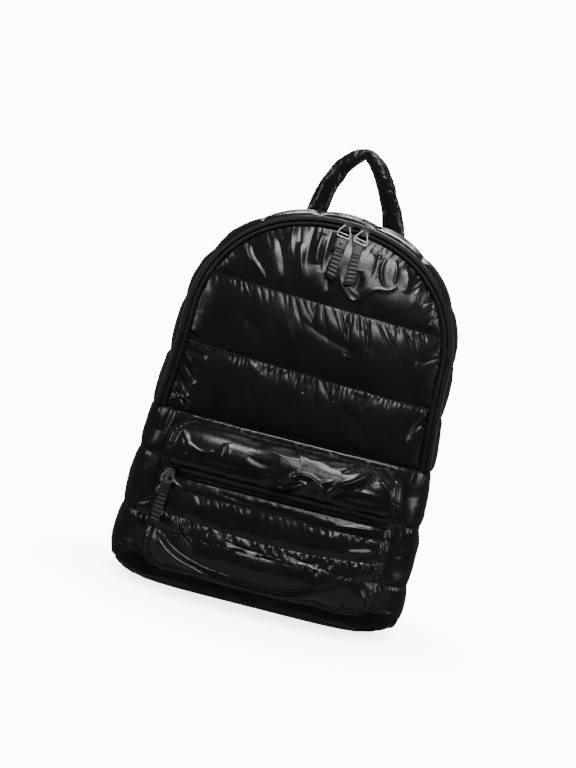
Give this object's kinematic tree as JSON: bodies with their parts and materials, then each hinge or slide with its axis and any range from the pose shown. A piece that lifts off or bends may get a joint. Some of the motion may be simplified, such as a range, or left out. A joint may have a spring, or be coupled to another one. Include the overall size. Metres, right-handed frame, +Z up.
{
  "type": "quilted puffer backpack",
  "caption": "Padded quilted backpack with an arched zip opening, a zipped front pouch pocket, a haul loop and two shoulder straps.",
  "frame": {"origin": "on the floor, under the middle of the overall box", "axes": "+Z up; the front with the pocket faces -Y and the straps +Y; +X is to the right seen from the front"},
  "size_m": [0.3178, 0.2228, 0.4862],
  "materials": {
    "shell_nylon": "glossy coated nylon over padding",
    "zip_tape": "satin coated tape",
    "webbing": "woven",
    "zip_metal": "gunmetal",
    "pull_rubber": "ribbed matt",
    "buckle_plastic": "moulded"
  },
  "bodies": {
    "root": {"base_panel": "shell_nylon", "base_piping": "shell_nylon", "lower_body": "shell_nylon", "front_panel": "shell_nylon", "band": "shell_nylon", "back_panel": "shell_nylon", "zip_lip_outer": "zip_tape", "zip_lip_inner": "zip_tape", "zip_coil": "zip_tape", "pocket_flap": "shell_nylon", "pocket_pouch": "shell_nylon", "pocket_zip": "zip_tape", "haul_loop": "shell_nylon", "left_slider": "zip_metal", "left_link": "zip_metal", "left_pull": "pull_rubber", "right_slider": "zip_metal", "right_link": "zip_metal", "right_pull": "pull_rubber", "pocket_slider": "zip_metal", "pocket_link": "zip_metal", "pocket_pull": "pull_rubber", "shoulder_strap_left": "shell_nylon", "strap_tab_left": "webbing", "strap_buckle_left": "buckle_plastic", "strap_webbing_left": "webbing", "strap_anchor_left": "shell_nylon", "shoulder_strap_right": "shell_nylon", "strap_tab_right": "webbing", "strap_buckle_right": "buckle_plastic", "strap_webbing_right": "webbing", "strap_anchor_right": "shell_nylon"}
  },
  "joints": []
}
